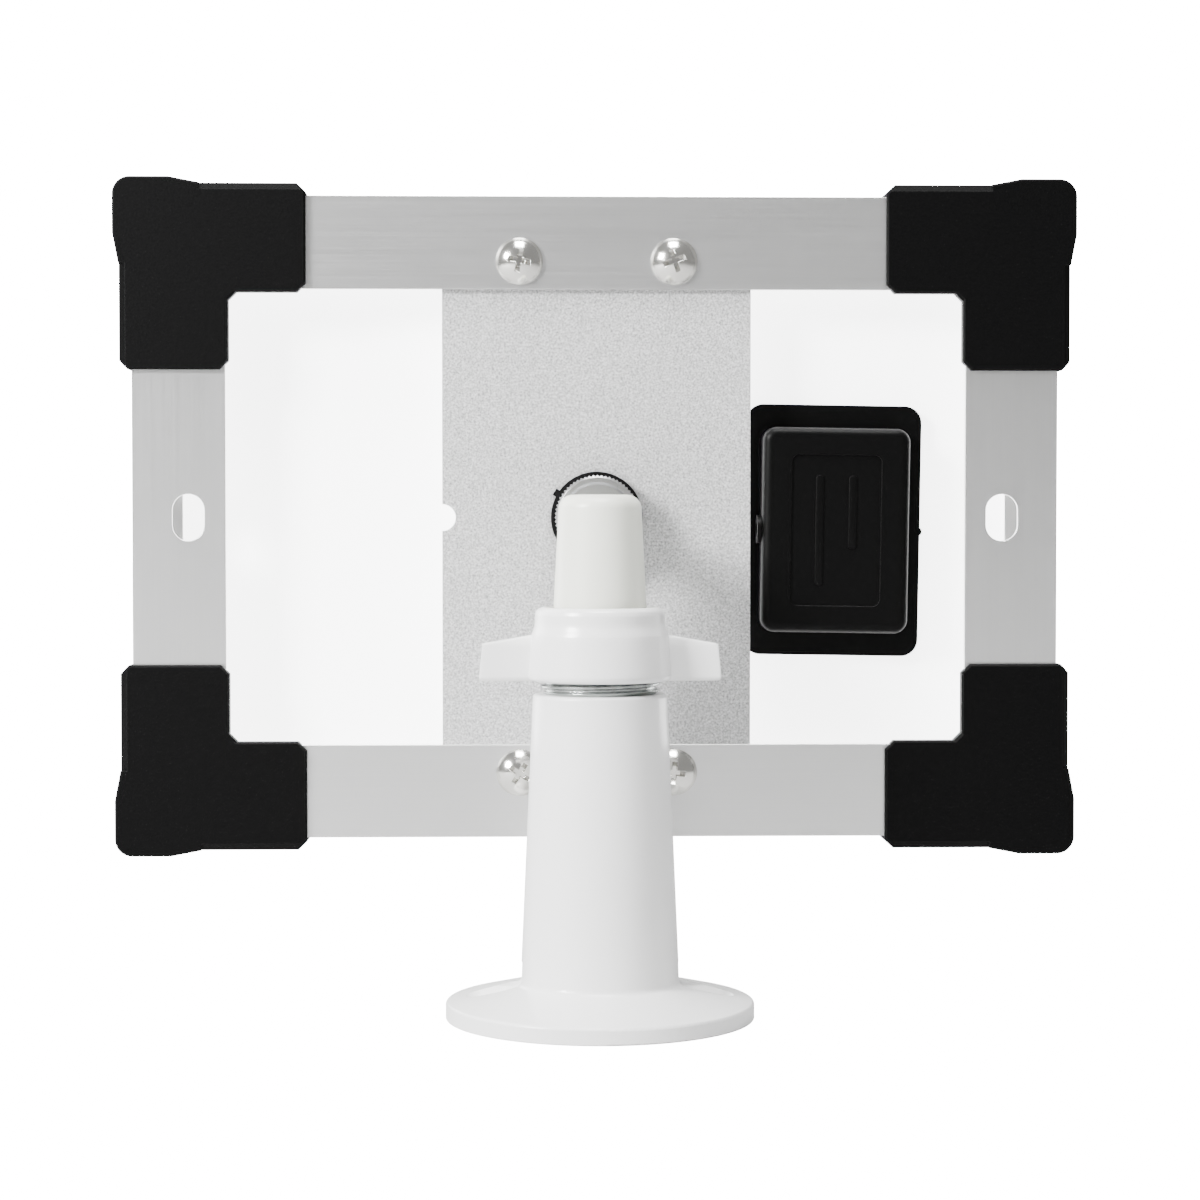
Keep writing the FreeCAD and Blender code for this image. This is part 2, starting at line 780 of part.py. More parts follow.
def plate_screw(x, z, angle):
    """Domed cross-recess screw through flange, plate and nut."""
    head_y = frame_back_y - screw_head_height
    rise = screw_head_height - screw_head_edge
    dome_radius = (screw_head_radius ** 2 + rise ** 2) / (2 * rise)
    disc = rod_y(screw_head_radius, head_y, frame_back_y, x=x, z=z)
    head = disc.common(Part.makeSphere(dome_radius, Vector(x, head_y + dome_radius, z)))
    tip_y = plate_front_y + nut_thickness + screw_tip_beyond_nut
    screw = head.fuse(rod_y(screw_radius, frame_back_y, tip_y, x=x, z=z)).removeSplitter()
    half = cross_length / 2
    bottom = half - cross_depth + cross_wall
    recess = [
        (-half, -past, 0),
        (half, -past, 0),
        (half, cross_wall, 0),
        (bottom, cross_depth, 0),
        (-bottom, cross_depth, 0),
        (-half, cross_wall, 0),
    ]
    low_z = z - cross_width / 2
    for turn in (angle, angle + 90):
        wire = rounded_wire(recess, lambda point: Vector(x + point.x, head_y + point.y, low_z))
        arm = Part.Face(wire).extrude(Vector(0, 0, cross_width))
        arm.rotate(Vector(x, head_y, z), Vector(0, 1, 0), turn)
        screw = screw.cut(arm)
    return screw


def plate_screws():
    """The four plate screws."""
    return Part.makeCompound([
        plate_screw(x, z, angle) for (x, z), angle in zip(screw_places(), screw_turn_angles)])


def plate_nuts():
    """The four hexagon nuts behind the plate."""
    nuts = []
    front = plate_front_y + nut_thickness
    for x, z in screw_places():
        nut = prism_y(hexagon(nut_across_flats, x=x, z=z), plate_front_y, front)
        nuts.append(nut.cut(rod_y(screw_radius, plate_front_y - past, front + past, x=x, z=z)))
    return Part.makeCompound(nuts)


# ---- laminate ----
def pane(y0, y1):
    """Sheet of the glass's outline."""
    return prism_y(rectangle(2 * glass_half_width, 2 * glass_half_height, 0, z=panel_z), y0, y1)


def column_centre(column):
    """Middle of a cell column."""
    return (column - (cell_columns - 1) / 2) * (cell_width + cell_gap_x)


def solar_cells():
    """Cut silicon cells in columns, each with its corners taken off."""
    cells = []
    cut = cell_corner_cut
    for column in range(cell_columns):
        for row in range(cell_rows):
            x = column_centre(column)
            z = panel_z + (row - (cell_rows - 1) / 2) * (cell_height + cell_gap_z)
            left = x - cell_width / 2
            right = x + cell_width / 2
            low = z - cell_height / 2
            high = z + cell_height / 2
            outline = [
                (left + cut, low, 0), (right - cut, low, 0), (right, low + cut, 0), (right, high - cut, 0),
                (right - cut, high, 0), (left + cut, high, 0), (left, high - cut, 0), (left, low + cut, 0),
            ]
            cells.append(prism_y(outline, cell_back_y, cell_front_y))
    return Part.makeCompound(cells)


def cell_ribbons():
    """Tinned ribbons down the front of each column, reaching the bus ribbons."""
    strips = []
    reach = cell_field_height / 2 + bus_gap + bus_width
    for column in range(cell_columns):
        for place in range(ribbons_per_column):
            share = (place + 0.5) / ribbons_per_column - 0.5
            x = column_centre(column) + share * cell_width
            strips.append(block(
                x - ribbon_width / 2, x + ribbon_width / 2, cell_front_y, cell_front_y + ribbon_thickness,
                panel_z - reach, panel_z + reach))
    return Part.makeCompound(strips)


def bus_strip(x0, x1, side, tier):
    """Bus ribbon over or under the cells; tier 1 is the outer run."""
    near = cell_field_height / 2 + bus_gap + tier * (bus_width + bus_tier_gap)
    low = panel_z + min(side * near, side * (near + bus_width))
    return block(x0, x1, cell_front_y - ribbon_thickness, cell_front_y, low, low + bus_width)


def lead_places():
    """Where the two output leads rise behind the box."""
    return [box_centre_x - clip_spacing / 2, box_centre_x + clip_spacing / 2]


def column_edge(column, side):
    """Where a bus ribbon ends over one side of a column."""
    return column_centre(column) + side * (cell_width / 2 - bus_end_inset)


def bus_ribbons():
    """Bus ribbons that join the columns in series, with both ends brought to the output leads."""
    last = cell_columns - 1
    strips = []
    for column in range(last):
        side = 1 if column % 2 == 0 else -1
        strips.append(bus_strip(column_edge(column, -1), column_edge(column + 1, 1), side, 0))
    minus_x, plus_x = lead_places()
    strips.append(bus_strip(column_edge(0, -1), column_edge(0, 1), -1, 0))
    strips.append(bus_strip(column_edge(last, -1), column_edge(last, 1), -1, 0))
    strips.append(bus_strip(column_edge(0, -1), minus_x + lead_width, -1, 1))
    strips.append(bus_strip(plus_x - lead_width, column_edge(last, 1), -1, 1))
    return Part.makeCompound(strips)


def output_leads():
    """Two flat leads from the outer bus ribbons, up behind the cells and out to the terminals."""
    leads = []
    near = cell_field_height / 2 + bus_gap
    foot_z = panel_z - near - 2 * bus_width - bus_tier_gap
    for x in lead_places():
        x0 = x - lead_width / 2
        x1 = x + lead_width / 2
        rise = block(x0, x1, backsheet_front_y, backsheet_front_y + lead_thickness, foot_z, box_centre_z)
        out = block(
            x0, x1, board_front_y, backsheet_front_y + lead_thickness,
            box_centre_z - lead_thickness, box_centre_z)
        leads.append(rise.fuse(out).removeSplitter())
    return Part.makeCompound(leads)


def lead_slits(y0, y1):
    """Openings that the leads pass through."""
    slits = []
    for x in lead_places():
        grow = lead_width / 2 + lead_slit_clearance
        slits.append(block(
            x - grow, x + grow, y0, y1,
            box_centre_z - lead_thickness - lead_slit_clearance, box_centre_z + lead_slit_clearance))
    return Part.makeCompound(slits)


def front_glass():
    """Tempered cover glass."""
    return pane(glass_back_y, glass_front_y)


def encapsulant():
    """Clear layer cast round the cells and ribbons."""
    layer = pane(backsheet_front_y, glass_back_y)
    for piece in (solar_cells(), cell_ribbons(), bus_ribbons(), output_leads()):
        layer = layer.cut(piece)
    return layer


def backsheet():
    """White backsheet with the leads' slits."""
    sheet = pane(backsheet_back_y, backsheet_front_y)
    return sheet.cut(lead_slits(backsheet_back_y - past, backsheet_front_y + past))


def edge_seal():
    """Sealant between the laminate's edge and the rails."""
    outer = prism_y(
        rectangle(frame_width - 2 * rail_wall, frame_height - 2 * rail_wall, 0, z=panel_z),
        backsheet_back_y, glass_front_y)
    return outer.cut(pane(backsheet_back_y - past, glass_front_y + past))


# ---- junction box ----
def skewed(shape):
    """Turn a box piece by the small angle the box is glued at."""
    shape.rotate(Vector(box_centre_x, 0, box_centre_z), Vector(0, 1, 0), box_skew_deg)
    return shape


def box_rectangle(width, height, radius):
    """Rectangle centred on the box."""
    return rectangle(width, height, radius, x=box_centre_x, z=box_centre_z)


def gland_place():
    """Axis of the lead inlet in the lid's left wall, as (y, z)."""
    return box_flange_back_y - gland_lift - gland_outer_radius / 2, box_centre_z


def rod_x(radius, x0, x1, y, z):
    """Cylinder along X."""
    return Part.makeCylinder(radius, x1 - x0, Vector(x0, y, z), Vector(1, 0, 0))


def lead_inlet_hole():
    """Hole for the gland, from outside the lid to inside the rim."""
    y, z = gland_place()
    left = box_centre_x - lid_width / 2
    inside = left + lid_wall + rim_fit + rim_wall
    return rod_x(gland_outer_radius + gland_fit, left - past, inside + past, y, z)


def junction_box_base():
    """Flange glued to the backsheet, with the rim the lid snaps over and posts for the board."""
    flange = prism_y(
        box_rectangle(box_flange_width, box_flange_height, box_flange_round),
        box_flange_back_y, box_flange_front_y)
    nub_x = box_centre_x + box_flange_width / 2 - box_nub_radius + box_nub_reach
    nub = rod_y(box_nub_radius, box_flange_back_y, box_flange_front_y, x=nub_x, z=box_centre_z)
    rim_width = lid_width - 2 * (lid_wall + rim_fit)
    rim_length = lid_height - 2 * (lid_wall + rim_fit)
    rim_back = box_flange_back_y - rim_height
    rim_round = lid_corner_round - lid_wall
    rim = prism_y(box_rectangle(rim_width, rim_length, rim_round), rim_back, box_flange_back_y)
    rim = rim.cut(prism_y(
        box_rectangle(rim_width - 2 * rim_wall, rim_length - 2 * rim_wall, rim_inner_round),
        rim_back - past, box_flange_back_y))
    body = flange.fuse(nub).fuse(rim)
    for side in (-1, 1):
        for rise in (-1, 1):
            x = box_centre_x + side * (board_width / 2 - board_post_inset)
            z = box_centre_z + rise * (board_height / 2 - board_post_inset)
            body = body.fuse(rod_y(board_post_radius, board_front_y, box_flange_back_y, x=x, z=z))
    body = body.removeSplitter().cut(lead_inlet_hole())
    body = skewed(body)
    return body.cut(lead_slits(box_flange_back_y - past, box_flange_front_y + past))


def junction_box_lid():
    """Snap-on lid: a rounded box shell with a sunk panel in its back face."""
    outer = prism_y(box_rectangle(lid_width, lid_height, lid_corner_round), lid_back_y, box_flange_back_y)
    crown = [edge for edge in outer.Edges if edge.BoundBox.YMax < lid_back_y + on_face]
    outer = outer.makeFillet(lid_edge_round, crown)
    hollow = prism_y(
        box_rectangle(lid_width - 2 * lid_wall, lid_height - 2 * lid_wall, lid_corner_round - lid_wall),
        lid_back_y + lid_wall, box_flange_back_y + past)
    panel = prism_y(
        box_rectangle(lid_panel_width, lid_panel_height, lid_panel_round),
        lid_back_y - past, lid_back_y + lid_panel_depth)
    return skewed(outer.cut(hollow).cut(panel).cut(lead_inlet_hole()))


def adhesive_pad():
    """Bed of sealant between the box's flange and the backsheet."""
    width = box_flange_width - 2 * box_glue_inset
    height = box_flange_height - 2 * box_glue_inset
    pad = prism_y(box_rectangle(width, height, box_flange_round), box_flange_front_y, backsheet_back_y)
    return skewed(pad).cut(lead_slits(box_flange_front_y - past, backsheet_back_y + past))


def terminal_board():
    """Small circuit board on the base's posts."""
    board = prism_y(box_rectangle(board_width, board_height, board_round), board_back_y, board_front_y)
    return skewed(board)


def blocking_diode():
    """Axial diode lying on the board, with its leads."""
    axis_y = board_back_y - diode_radius
    z = box_centre_z + board_height / 4
    start = box_centre_x - diode_length / 2
    body = rod_x(diode_radius, start, start + diode_length, axis_y, z)
    wire_start = start - diode_lead_length
    wire = rod_x(diode_lead_radius, wire_start, start + diode_length + diode_lead_length, axis_y, z)
    return skewed(body.fuse(wire).removeSplitter())


def terminal_clips():
    """Two solder clips on the board for the cell leads and the output lead."""
    clips = []
    low_z = box_centre_z - clip_drop - clip_length
    foot_y = board_back_y - clip_thickness
    tab_y = board_back_y - clip_tab_height
    for x in lead_places():
        x0 = x - clip_width / 2
        x1 = x + clip_width / 2
        foot = block(x0, x1, foot_y, board_back_y, low_z, low_z + clip_length)
        tab = block(x0, x1, tab_y, foot_y, low_z, low_z + clip_thickness)
        clips.append(skewed(foot.fuse(tab).removeSplitter()))
    return Part.makeCompound(clips)


def cable_gland():
    """Rubber grommet in the lid's left wall, open for the output lead."""
    y, z = gland_place()
    left = box_centre_x - lid_width / 2
    inner_x = left + lid_wall + rim_fit + rim_wall
    sleeve = rod_x(gland_outer_radius, left, inner_x, y, z)
    flange = rod_x(gland_flange_radius, left - gland_flange_thickness, left, y, z)
    grommet = sleeve.fuse(flange).removeSplitter()
    hole = rod_x(gland_hole_radius, left - gland_flange_thickness - past, inner_x + past, y, z)
    reach = 2 * gland_flange_radius
    floor_y = box_flange_back_y
    floor = block(left - reach, inner_x + reach, floor_y, floor_y + reach, z - reach, z + reach)
    return skewed(grommet.cut(hole).cut(floor))


CORNERS = {"top_left": (-1, 1), "top_right": (1, 1), "bottom_left": (-1, -1), "bottom_right": (1, -1)}

os.makedirs("parts", exist_ok=True)
for build in (
    mounting_base_post, threaded_neck, ball_seat, friction_pad, ball_stem, mounting_stud, clamp_ring,
    wing_collar, knurled_lock_nut, rubber_washer, top_rail, bottom_rail, back_plate, plate_insert_nut,
    plate_screws, plate_nuts, front_glass, encapsulant, solar_cells, cell_ribbons, bus_ribbons,
    output_leads, backsheet, edge_seal, junction_box_base, junction_box_lid, adhesive_pad,
    terminal_board, blocking_diode, terminal_clips, cable_gland,
):
    save(build(), build.__name__)
save(side_rail(-1), "left_rail")
save(side_rail(1), "right_rail")
for place, (side, rise) in CORNERS.items():
    save(corner_key(side, rise), "corner_key_" + place)
    save(corner_guard(side, rise), "corner_guard_" + place)
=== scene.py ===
import math

import bpy
import numpy as np
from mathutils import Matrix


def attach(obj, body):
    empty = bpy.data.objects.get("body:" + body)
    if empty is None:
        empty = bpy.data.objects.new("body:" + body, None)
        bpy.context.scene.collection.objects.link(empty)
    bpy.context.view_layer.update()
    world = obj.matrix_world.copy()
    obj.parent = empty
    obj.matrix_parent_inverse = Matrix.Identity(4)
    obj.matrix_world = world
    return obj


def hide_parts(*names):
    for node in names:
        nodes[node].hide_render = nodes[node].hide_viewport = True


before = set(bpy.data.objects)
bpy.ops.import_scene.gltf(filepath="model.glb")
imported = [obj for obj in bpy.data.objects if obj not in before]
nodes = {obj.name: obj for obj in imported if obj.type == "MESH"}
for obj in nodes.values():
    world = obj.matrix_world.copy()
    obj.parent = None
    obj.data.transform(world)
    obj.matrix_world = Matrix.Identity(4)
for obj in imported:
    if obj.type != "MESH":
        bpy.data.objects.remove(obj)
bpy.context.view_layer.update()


# ---- Studio: pale floor, soft lights and the camera ----
# A white sweep, bright enough to lose its horizon, round an almost level camera that stands a
# little left of the panel's middle. One near soft box high on the left does most of
# the lighting, and the sweep fills the rest.
CAMERA_PLACE = (-0.0156, -0.558, 0.1032)
CAMERA_PITCH_DOWN = math.radians(1.7)
CAMERA_YAW_RIGHT = math.radians(1.6)
CAMERA_LENS_MM = 81.0
FLOOR_REACH = 6.0
FLOOR_DROP = 0.0002
SWEEP_SEEN = 22.0
SWEEP_FILL = 0.37
FLOOR_GLOW_SHARE = 0.75
SOFT_BOX_AIM = (0.0, 0.02, 0.1)
SOFT_BOXES = {
    "key": ((-0.8, -0.58, 0.55), 0.3, 37.0),
    "top": ((0.0, -0.3, 1.3), 0.5, 29.0),
    "glass_side": ((-0.7, 1.1, 0.9), 0.9, 26.0),
}


def floor_material():
    """White paper that the camera sees partly as the glow of a lit sweep, so its own shadows stay faint."""
    paper = bpy.data.materials.new("floor_paper")
    paper.use_nodes = True
    tree = paper.node_tree
    surface = tree.nodes["Principled BSDF"]
    surface.inputs["Base Color"].default_value = (0.5, 0.5, 0.5, 1)
    surface.inputs["Roughness"].default_value = 0.9
    glow = tree.nodes.new("ShaderNodeEmission")
    glow.inputs["Strength"].default_value = SWEEP_SEEN
    seen = tree.nodes.new("ShaderNodeLightPath")
    share = tree.nodes.new("ShaderNodeMath")
    share.operation = "MULTIPLY"
    share.inputs[1].default_value = FLOOR_GLOW_SHARE
    mix = tree.nodes.new("ShaderNodeMixShader")
    tree.links.new(seen.outputs["Is Camera Ray"], share.inputs[0])
    tree.links.new(share.outputs[0], mix.inputs[0])
    tree.links.new(surface.outputs[0], mix.inputs[1])
    tree.links.new(glow.outputs[0], mix.inputs[2])
    tree.links.new(mix.outputs[0], tree.nodes["Material Output"].inputs["Surface"])
    return paper


def add_floor():
    """One flat square under the base."""
    reach = FLOOR_REACH
    mesh = bpy.data.meshes.new("floor")
    corners = [(-reach, -reach, -FLOOR_DROP), (reach, -reach, -FLOOR_DROP),
               (reach, reach, -FLOOR_DROP), (-reach, reach, -FLOOR_DROP)]
    mesh.from_pydata(corners, [], [(0, 1, 2, 3)])
    mesh.materials.append(floor_material())
    floor = bpy.data.objects.new("floor", mesh)
    bpy.context.scene.collection.objects.link(floor)


def add_soft_box(name, place, size, power):
    """Square area light aimed at the panel's middle."""
    lamp = bpy.data.lights.new(name, "AREA")
    lamp.size = size
    lamp.energy = power
    box = bpy.data.objects.new(name, lamp)
    box.location = place
    aim = np.array(SOFT_BOX_AIM) - np.array(place)
    box.rotation_euler = (math.atan2(math.hypot(aim[0], aim[1]), -aim[2]), 0, math.atan2(-aim[0], aim[1]))
    bpy.context.scene.collection.objects.link(box)


def add_sweep():
    """World that fills softly and that the camera sees as the bright sweep."""
    world = bpy.data.worlds.new("studio")
    world.use_nodes = True
    tree = world.node_tree
    seen = tree.nodes.new("ShaderNodeLightPath")
    strength = tree.nodes.new("ShaderNodeMapRange")
    strength.inputs["To Min"].default_value = SWEEP_FILL
    strength.inputs["To Max"].default_value = SWEEP_SEEN
    tree.links.new(seen.outputs["Is Camera Ray"], strength.inputs["Value"])
    tree.nodes["Background"].inputs["Color"].default_value = (1, 1, 1, 1)
    tree.links.new(strength.outputs["Result"], tree.nodes["Background"].inputs["Strength"])
    bpy.context.scene.world = world


def add_camera():
    """Camera on the post's side of the panel."""
    lens = bpy.data.cameras.new("camera")
    lens.lens = CAMERA_LENS_MM
    lens.sensor_width = 36.0
    lens.clip_start = 0.01
    camera = bpy.data.objects.new("camera", lens)
    camera.location = CAMERA_PLACE
    camera.rotation_euler = (math.pi / 2 - CAMERA_PITCH_DOWN, 0, -CAMERA_YAW_RIGHT)
    bpy.context.scene.collection.objects.link(camera)
    bpy.context.scene.camera = camera


add_sweep()
add_floor()
for light_name, (light_place, light_size, light_power) in SOFT_BOXES.items():
    add_soft_box(light_name, light_place, light_size, light_power)
add_camera()


# ---- Base and post ----
# One casting, powder coated white and baked, so it has a faint orange-peel skin.
# Screws through its countersunk slots hold it to a wall, or it stands on its underside.
def finish_group():
    """Group that shades any finish: two sizes of noise move its colour, roughness and bump, and its edges
    are eased, and given a painted highlight in the edge colour, where the normal of a small bevel leaves the
    face's own."""
    group = bpy.data.node_groups.new("surface_finish", "ShaderNodeTree")
    sockets = [
        ("Vector", "INPUT", "NodeSocketVector"), ("Stretch", "INPUT", "NodeSocketVector"),
        ("Scale", "INPUT", "NodeSocketFloat"), ("Fine Share", "INPUT", "NodeSocketFloat"),
        ("Color", "INPUT", "NodeSocketColor"), ("Spread", "INPUT", "NodeSocketFloat"),
        ("Roughness", "INPUT", "NodeSocketFloat"), ("Rough Spread", "INPUT", "NodeSocketFloat"),
        ("Bump Depth", "INPUT", "NodeSocketFloat"), ("Edge Radius", "INPUT", "NodeSocketFloat"),
        ("Edge Highlight Color", "INPUT", "NodeSocketColor"), ("Edge Highlight Amount", "INPUT", "NodeSocketFloat"),
        ("Color", "OUTPUT", "NodeSocketColor"), ("Roughness", "OUTPUT", "NodeSocketFloat"),
        ("Normal", "OUTPUT", "NodeSocketVector"), ("Mask", "OUTPUT", "NodeSocketFloat"),
    ]
    for name, way, kind in sockets:
        group.interface.new_socket(name, in_out=way, socket_type=kind)
    link = group.links.new
    given = group.nodes.new("NodeGroupInput")
    result = group.nodes.new("NodeGroupOutput")

    def math_node(operation, first, second):
        node = group.nodes.new("ShaderNodeMath")
        node.operation = operation
        for socket, value in zip(node.inputs, (first, second)):
            if isinstance(value, (int, float)):
                socket.default_value = value
            else:
                link(value, socket)
        return node.outputs[0]

    stretched = group.nodes.new("ShaderNodeVectorMath")
    stretched.operation = "MULTIPLY"
    link(given.outputs["Vector"], stretched.inputs[0])
    link(given.outputs["Stretch"], stretched.inputs[1])
    coarse = group.nodes.new("ShaderNodeTexNoise")
    fine = group.nodes.new("ShaderNodeTexNoise")
    coarse.inputs["Detail"].default_value = 3.0
    fine.inputs["Detail"].default_value = 2.0
    link(stretched.outputs[0], coarse.inputs["Vector"])
    link(stretched.outputs[0], fine.inputs["Vector"])
    link(given.outputs["Scale"], coarse.inputs["Scale"])
    link(math_node("MULTIPLY", given.outputs["Scale"], 5.3), fine.inputs["Scale"])
    coarse_part = math_node("SUBTRACT", coarse.outputs["Fac"], 0.5)
    fine_part = math_node("SUBTRACT", fine.outputs["Fac"], 0.5)
    keep = math_node("SUBTRACT", 1.0, given.outputs["Fine Share"])
    swing = math_node("ADD", math_node("MULTIPLY", coarse_part, keep),
                      math_node("MULTIPLY", fine_part, given.outputs["Fine Share"]))
    swing = math_node("MULTIPLY", swing, 2.0)

    bevel = group.nodes.new("ShaderNodeBevel")
    bevel.samples = 4
    link(given.outputs["Edge Radius"], bevel.inputs["Radius"])
    geometry = group.nodes.new("ShaderNodeNewGeometry")
    alike = group.nodes.new("ShaderNodeVectorMath")
    alike.operation = "DOT_PRODUCT"
    link(bevel.outputs["Normal"], alike.inputs[0])
    link(geometry.outputs["Normal"], alike.inputs[1])
    # Mask of the painted edge highlight: 1 where the small bevel's normal turns away from the face's.
    edge = math_node("MULTIPLY", math_node("SUBTRACT", 1.0, alike.outputs["Value"]), 7.0)
    edge = math_node("MULTIPLY", math_node("MINIMUM", edge, 1.0), given.outputs["Edge Highlight Amount"])

    shade = math_node("ADD", 1.0, math_node("MULTIPLY", swing, given.outputs["Spread"]))
    toned = group.nodes.new("ShaderNodeVectorMath")
    toned.operation = "SCALE"
    link(given.outputs["Color"], toned.inputs[0])
    link(shade, toned.inputs["Scale"])
    # Painted highlight: the edge colour is mixed over the base colour along the edges.
    edged = group.nodes.new("ShaderNodeMix")
    edged.data_type = "RGBA"
    link(edge, edged.inputs["Factor"])
    link(toned.outputs[0], edged.inputs["A"])
    link(given.outputs["Edge Highlight Color"], edged.inputs["B"])
    link(edged.outputs["Result"], result.inputs["Color"])

    rough = math_node("ADD", given.outputs["Roughness"],
                      math_node("MULTIPLY", swing, given.outputs["Rough Spread"]))
    link(math_node("MAXIMUM", rough, 0.03), result.inputs["Roughness"])
    bump = group.nodes.new("ShaderNodeBump")
    bump.inputs["Strength"].default_value = 1.0
    link(swing, bump.inputs["Height"])
    link(given.outputs["Bump Depth"], bump.inputs["Distance"])
    link(bevel.outputs["Normal"], bump.inputs["Normal"])
    link(bump.outputs["Normal"], result.inputs["Normal"])
    link(math_node("ADD", math_node("MULTIPLY", swing, 0.5), 0.5), result.inputs["Mask"])
    return group


surface_finish = finish_group()


def finished(name, colour, roughness, metallic=0.0, scale=400.0, stretch=(1, 1, 1), fine=0.4, spread=0.03,
             rough_spread=0.05, bump=0.00001, edge_radius=0.00025, edge_highlight_colour=None, edge=0.0, **plain):
    """Principled material whose colour, roughness and normal come from the finish group at these values."""
    new = bpy.data.materials.new(name)
    new.use_nodes = True
    tree = new.node_tree
    shader = tree.nodes["Principled BSDF"]
    shader.inputs["Metallic"].default_value = metallic
    for socket, value in plain.items():
        shader.inputs[socket.replace("_", " ").title().replace("Ior", "IOR")].default_value = value
    group = tree.nodes.new("ShaderNodeGroup")
    group.node_tree = surface_finish
    group.name = "finish"
    place = tree.nodes.new("ShaderNodeTexCoord")
    tree.links.new(place.outputs["Object"], group.inputs["Vector"])
    group.inputs["Stretch"].default_value = stretch
    group.inputs["Scale"].default_value = scale
    group.inputs["Fine Share"].default_value = fine
    group.inputs["Color"].default_value = (*colour, 1)
    group.inputs["Spread"].default_value = spread
    group.inputs["Roughness"].default_value = roughness
    group.inputs["Rough Spread"].default_value = rough_spread
    group.inputs["Bump Depth"].default_value = bump
    group.inputs["Edge Radius"].default_value = edge_radius
    group.inputs["Edge Highlight Color"].default_value = (*(edge_highlight_colour or colour), 1)
    group.inputs["Edge Highlight Amount"].default_value = edge
    tree.links.new(group.outputs["Color"], shader.inputs["Base Color"])
    tree.links.new(group.outputs["Roughness"], shader.inputs["Roughness"])
    tree.links.new(group.outputs["Normal"], shader.inputs["Normal"])
    return new


def dress(material, *names):
    """Give CAD nodes their finish."""
    for name in names:
        nodes[name].data.materials.clear()
        nodes[name].data.materials.append(material)


white_coat = finished("white_powder_coat", (0.86, 0.86, 0.855), 0.3, scale=700, spread=0.012, bump=0.000006,
                      coat_weight=0.35, coat_roughness=0.18)
dress(white_coat, "mounting_base_post")


# ---- Threaded neck ----
# Turned steel insert pressed into the post; its single-start thread of 1.5 mm pitch
# shows between the post and the collar.
MM = 0.001
NECK_FOOT, NECK_THREAD_START, NECK_TOP, NECK_FLOOR = 50.0, 67.3, 76.5, 63.9
NECK_PLUG, NECK_ROOT, NECK_CREST, NECK_BORE, NECK_PITCH = 11.5, 11.6, 12.5, 10.1, 1.5


def ring_piece(name, rings, material, body, replaced=(), poles=True):
    """Closed surface through rings of points in mm, an array (ring, place, xyz), joined ring to ring and
    round each ring. With poles the first and last rings shrink to their middles; without, the last ring
    joins the first."""
    count, around = rings.shape[:2]
    points = rings.reshape(-1, 3) * MM
    faces = []
    for ring in range(count - 1 if poles else count):
        low = ring * around
        high = (ring + 1) % count * around
        for place in range(around):
            after = (place + 1) % around
            faces.append((low + place, low + after, high + after, high + place))
    if poles:
        points = np.vstack([points, rings[0].mean(axis=0) * MM, rings[-1].mean(axis=0) * MM])
        top = (count - 1) * around
        for place in range(around):
            after = (place + 1) % around
            faces.append((len(points) - 2, after, place))
            faces.append((len(points) - 1, top + place, top + after))
    mesh = bpy.data.meshes.new(name)
    mesh.from_pydata(points.tolist(), [], faces)
    mesh.polygons.foreach_set("use_smooth", [True] * len(mesh.polygons))
    mesh.set_sharp_from_angle(angle=math.radians(38))
    mesh.materials.append(material)
    piece = bpy.data.objects.new(name, mesh)
    bpy.context.scene.collection.objects.link(piece)
    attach(piece, body)
    if replaced:
        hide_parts(*replaced)
    return piece


def turned_rings(radii, heights, turns):
    """Rings about Z: x = r cos t, y = r sin t, z = h, with r given for each ring or each point."""
    radii = np.asarray(radii, float).reshape(len(heights), -1)
    radii = np.broadcast_to(radii, (len(heights), len(turns)))
    heights = np.broadcast_to(np.asarray(heights, float)[:, None], radii.shape)
    return np.stack([radii * np.cos(turns), radii * np.sin(turns), heights], axis=-1)


def helical_radii(heights, turns, root, crest, pitch, start, end):
    """r = root + (crest - root) w(p), p = fract((h - start) / pitch - t / 2 pi), where w is a trapezoid with
    equal flanks that fades in and out over half a turn."""
    phase = ((heights[:, None] - start) / pitch - turns[None, :] / (2 * np.pi)) % 1.0
    tooth = np.clip((0.5 - np.abs(phase - 0.5)) / 0.25 - 0.5, 0, 1)
    fade = np.clip(np.minimum(heights - start, end - heights) / (0.5 * pitch), 0, 1)
    return root + (crest - root) * tooth * fade[:, None]


thread_turns = np.linspace(0, 2 * np.pi, 120, endpoint=False)
thread_heights = np.arange(NECK_THREAD_START + 0.01, NECK_TOP - 0.01, NECK_PITCH / 14)
neck_rings = np.concatenate([
    turned_rings([2.0, NECK_PLUG - 0.5, NECK_PLUG, NECK_PLUG],
                 [NECK_FOOT, NECK_FOOT, NECK_FOOT + 0.5, NECK_THREAD_START], thread_turns),
    turned_rings(helical_radii(thread_heights, thread_turns, NECK_ROOT, NECK_CREST, NECK_PITCH,
                               NECK_THREAD_START, NECK_TOP), thread_heights, thread_turns),
    turned_rings([NECK_ROOT - 0.2, NECK_BORE + 0.2, NECK_BORE, NECK_BORE, 2.0],
                 [NECK_TOP, NECK_TOP, NECK_TOP - 0.2, NECK_FLOOR, NECK_FLOOR], thread_turns),
])
bright_thread = finished("turned_steel", (0.42, 0.44, 0.43), 0.24, metallic=1.0, scale=900,
                         stretch=(1, 1, 6), spread=0.12, rough_spread=0.12)
ring_piece("threaded_neck_turned", neck_rings, bright_thread, "bracket", ["threaded_neck"])


# ---- Ball seat, liner and clamp ring ----
# Moulded nylon cup and ring with a grey friction liner between cup and ball.
nylon = finished("natural_nylon", (0.78, 0.78, 0.72), 0.45, scale=500, spread=0.03)
liner = finished("friction_liner", (0.1, 0.1, 0.105), 0.7, scale=1200, spread=0.2)
dress(nylon, "ball_seat", "clamp_ring")
dress(liner, "friction_pad")


